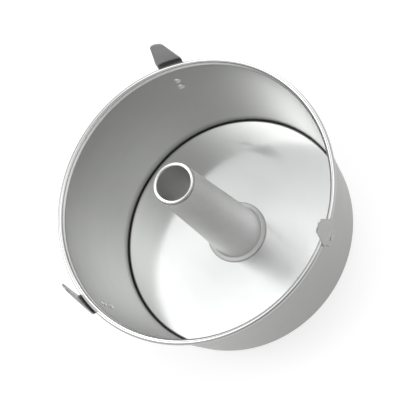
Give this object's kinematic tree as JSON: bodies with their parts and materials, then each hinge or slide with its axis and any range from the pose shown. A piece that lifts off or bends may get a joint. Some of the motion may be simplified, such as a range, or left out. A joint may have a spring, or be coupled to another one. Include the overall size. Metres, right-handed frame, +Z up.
{
  "type": "angel food cake pan",
  "caption": "Tapered round tube pan with a rolled rim, cooling feet riveted to its wall, and a base with a tall centre tube that lifts out.",
  "frame": {"origin": "on the pan's axis, at the height of the surface that the pan stands on", "axes": "+Z up along the pan's axis, +X through the first cooling foot"},
  "size_m": [0.2588, 0.256, 0.1509],
  "materials": {
    "wall": "spun, satin",
    "plate": "spun, polished",
    "tube": "drawn, satin",
    "feet": "rolled, satin",
    "rivets": "bright"
  },
  "bodies": {
    "pan": {"pan_wall": "wall", "foot_1": "feet", "foot_2": "feet", "foot_3": "feet", "rivet_1_upper": "rivets", "rivet_1_lower": "rivets", "rivet_2_upper": "rivets", "rivet_2_lower": "rivets", "rivet_3_upper": "rivets", "rivet_3_lower": "rivets"},
    "base": {"base_plate": "plate", "centre_tube": "tube"}
  },
  "joints": [
    {"name": "base_lift", "type": "slide", "parent": "pan", "child": "base", "axis": [0, 0, 1], "range_m": [0, 0.15]}
  ]
}
